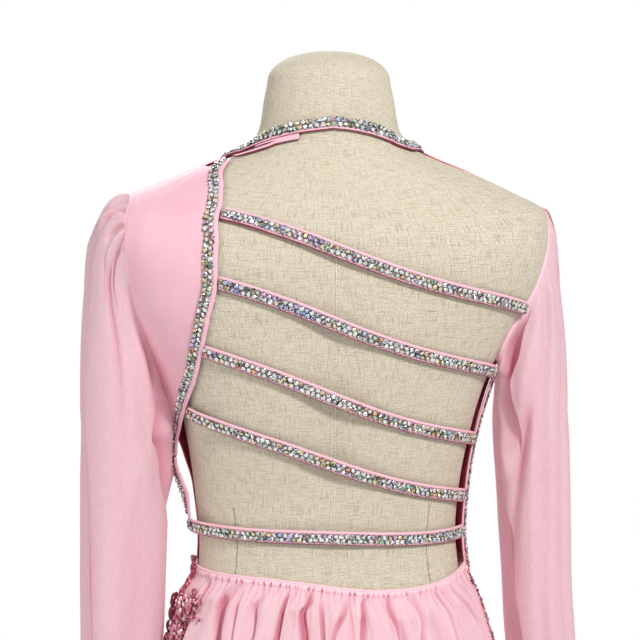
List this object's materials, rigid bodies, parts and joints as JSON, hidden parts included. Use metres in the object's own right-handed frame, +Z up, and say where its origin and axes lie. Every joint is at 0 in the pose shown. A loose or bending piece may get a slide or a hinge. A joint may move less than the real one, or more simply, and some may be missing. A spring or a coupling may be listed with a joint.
{
  "type": "lyrical dance costume on a limbless dress form with stand",
  "caption": "Pink dance dress with an open strapped back, one backless shoulder, sheer sleeves and a gathered skirt, worn by a linen dress form on a round stand.",
  "frame": {"origin": "centre of the stand base's underside, on the floor", "axes": "+Z up, -Y towards the wearer's front, +X towards the wearer's left"},
  "size_m": [0.5032, 0.3945, 1.5],
  "materials": {
    "linen": "coarse natural linen, pale beige with darker slubs",
    "steel": "satin steel tube",
    "base_metal": "warm white satin paint",
    "stretch_cloth": "smooth matt four-way stretch knit, opaque pink",
    "stoned_band": "folded pink stretch binding that carries two rows of stones",
    "chiffon": "sheer soft pink stretch mesh",
    "rhinestone": "silver-backed faceted stones with an iridescent coat",
    "beads": "glossy dark rose beads and sequins"
  },
  "bodies": {
    "root": {"form_torso": "linen", "form_pole": "steel", "form_base": "base_metal", "front_bodice": "stretch_cloth", "back_left_panel": "stretch_cloth", "neck_tab": "stretch_cloth", "neck_band": "stoned_band", "panel_edge_band": "stoned_band", "side_strap_left": "stoned_band", "side_edge_band_right": "stoned_band", "back_strap_1": "stoned_band", "back_strap_2": "stoned_band", "back_strap_3": "stoned_band", "back_strap_4": "stoned_band", "back_strap_5": "stoned_band", "sleeve_left": "chiffon", "sleeve_right": "chiffon", "cuff_left": "chiffon", "cuff_right": "chiffon", "skirt_waistband": "chiffon", "skirt_back": "chiffon", "skirt_front": "chiffon", "hip_applique_left": "beads", "hip_trim_right": "rhinestone"}
  },
  "joints": []
}
